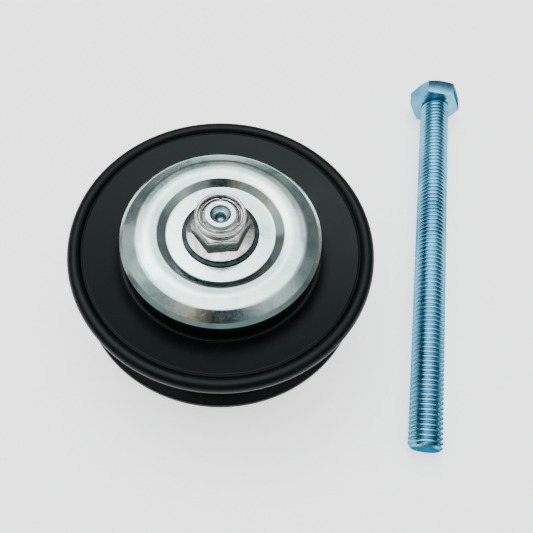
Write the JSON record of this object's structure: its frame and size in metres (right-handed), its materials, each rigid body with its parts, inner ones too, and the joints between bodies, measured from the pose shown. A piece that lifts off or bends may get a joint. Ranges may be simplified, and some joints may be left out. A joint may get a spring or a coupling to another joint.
{
  "type": "belt tensioner idler",
  "caption": "Single V-groove idler pulley on a threaded slider stud, with a dust cover, a flange lock nut and a long fully threaded adjusting bolt.",
  "frame": {"origin": "middle of the slider block's flat underside, on the stud axis", "axes": "+Z along the stud towards the nut, +Y along the adjuster hole, towards the bolt's head"},
  "size_m": [0.1212, 0.1396, 0.0512],
  "materials": {
    "black_paint": "satin black paint",
    "bright_zinc": "bright zinc plate",
    "forged_zinc": "zinc-plated forging",
    "nut_steel": "plated steel, warm grey",
    "blue_zinc": "blue-passivated zinc",
    "bearing_steel": "ground bearing steel",
    "cage_steel": "pressed steel",
    "spring_steel": "phosphated spring steel",
    "seal_rubber": "moulded rubber over a steel washer"
  },
  "bodies": {
    "slider": {"slider_stud": "forged_zinc", "rear_spacer": "forged_zinc", "rear_dust_plate": "bright_zinc", "bearing_inner_ring": "bearing_steel", "front_spacer": "forged_zinc", "front_cover": "bright_zinc"},
    "pulley": {"front_flange": "black_paint", "rear_flange": "black_paint", "hub_sleeve": "black_paint", "snap_ring": "spring_steel", "bearing_outer_ring": "bearing_steel", "bearing_seal_front": "seal_rubber", "bearing_seal_rear": "seal_rubber"},
    "ball_set": {"bearing_balls": "bearing_steel", "cage_front_half": "cage_steel", "cage_rear_half": "cage_steel", "cage_rivets": "cage_steel"},
    "washer": {"nut_washer": "spring_steel"},
    "nut": {"flange_nut": "nut_steel", "nut_friction_ring": "nut_steel"},
    "bolt": {"adjusting_bolt": "blue_zinc"}
  },
  "joints": [
    {"name": "pulley_spin", "type": "hinge", "parent": "slider", "child": "pulley", "pos_m": [0, 0, 0.031], "axis": [0, 0, 1], "continuous": true},
    {"name": "cage_spin", "type": "hinge", "parent": "slider", "child": "ball_set", "pos_m": [0, 0, 0.031], "axis": [0, 0, 1], "continuous": true},
    {"name": "nut_feed", "type": "slide", "parent": "slider", "child": "washer", "axis": [0, 0, 1], "range_m": [0, 0.009]},
    {"name": "nut_turn", "type": "hinge", "parent": "washer", "child": "nut", "pos_m": [0, 0, 0.0465], "axis": [0, 0, 1], "range_deg": [0, 2160]},
    {"name": "bolt_travel", "type": "slide", "parent": "slider", "child": "bolt", "axis": [0, -1, 0], "range_m": [0, 0.1]}
  ],
  "couplings": [
    {"joint": "cage_spin", "follows": "pulley_spin", "ratio": 0.6359},
    {"joint": "nut_feed", "follows": "nut_turn", "m_per_rad": 0.00023873}
  ]
}
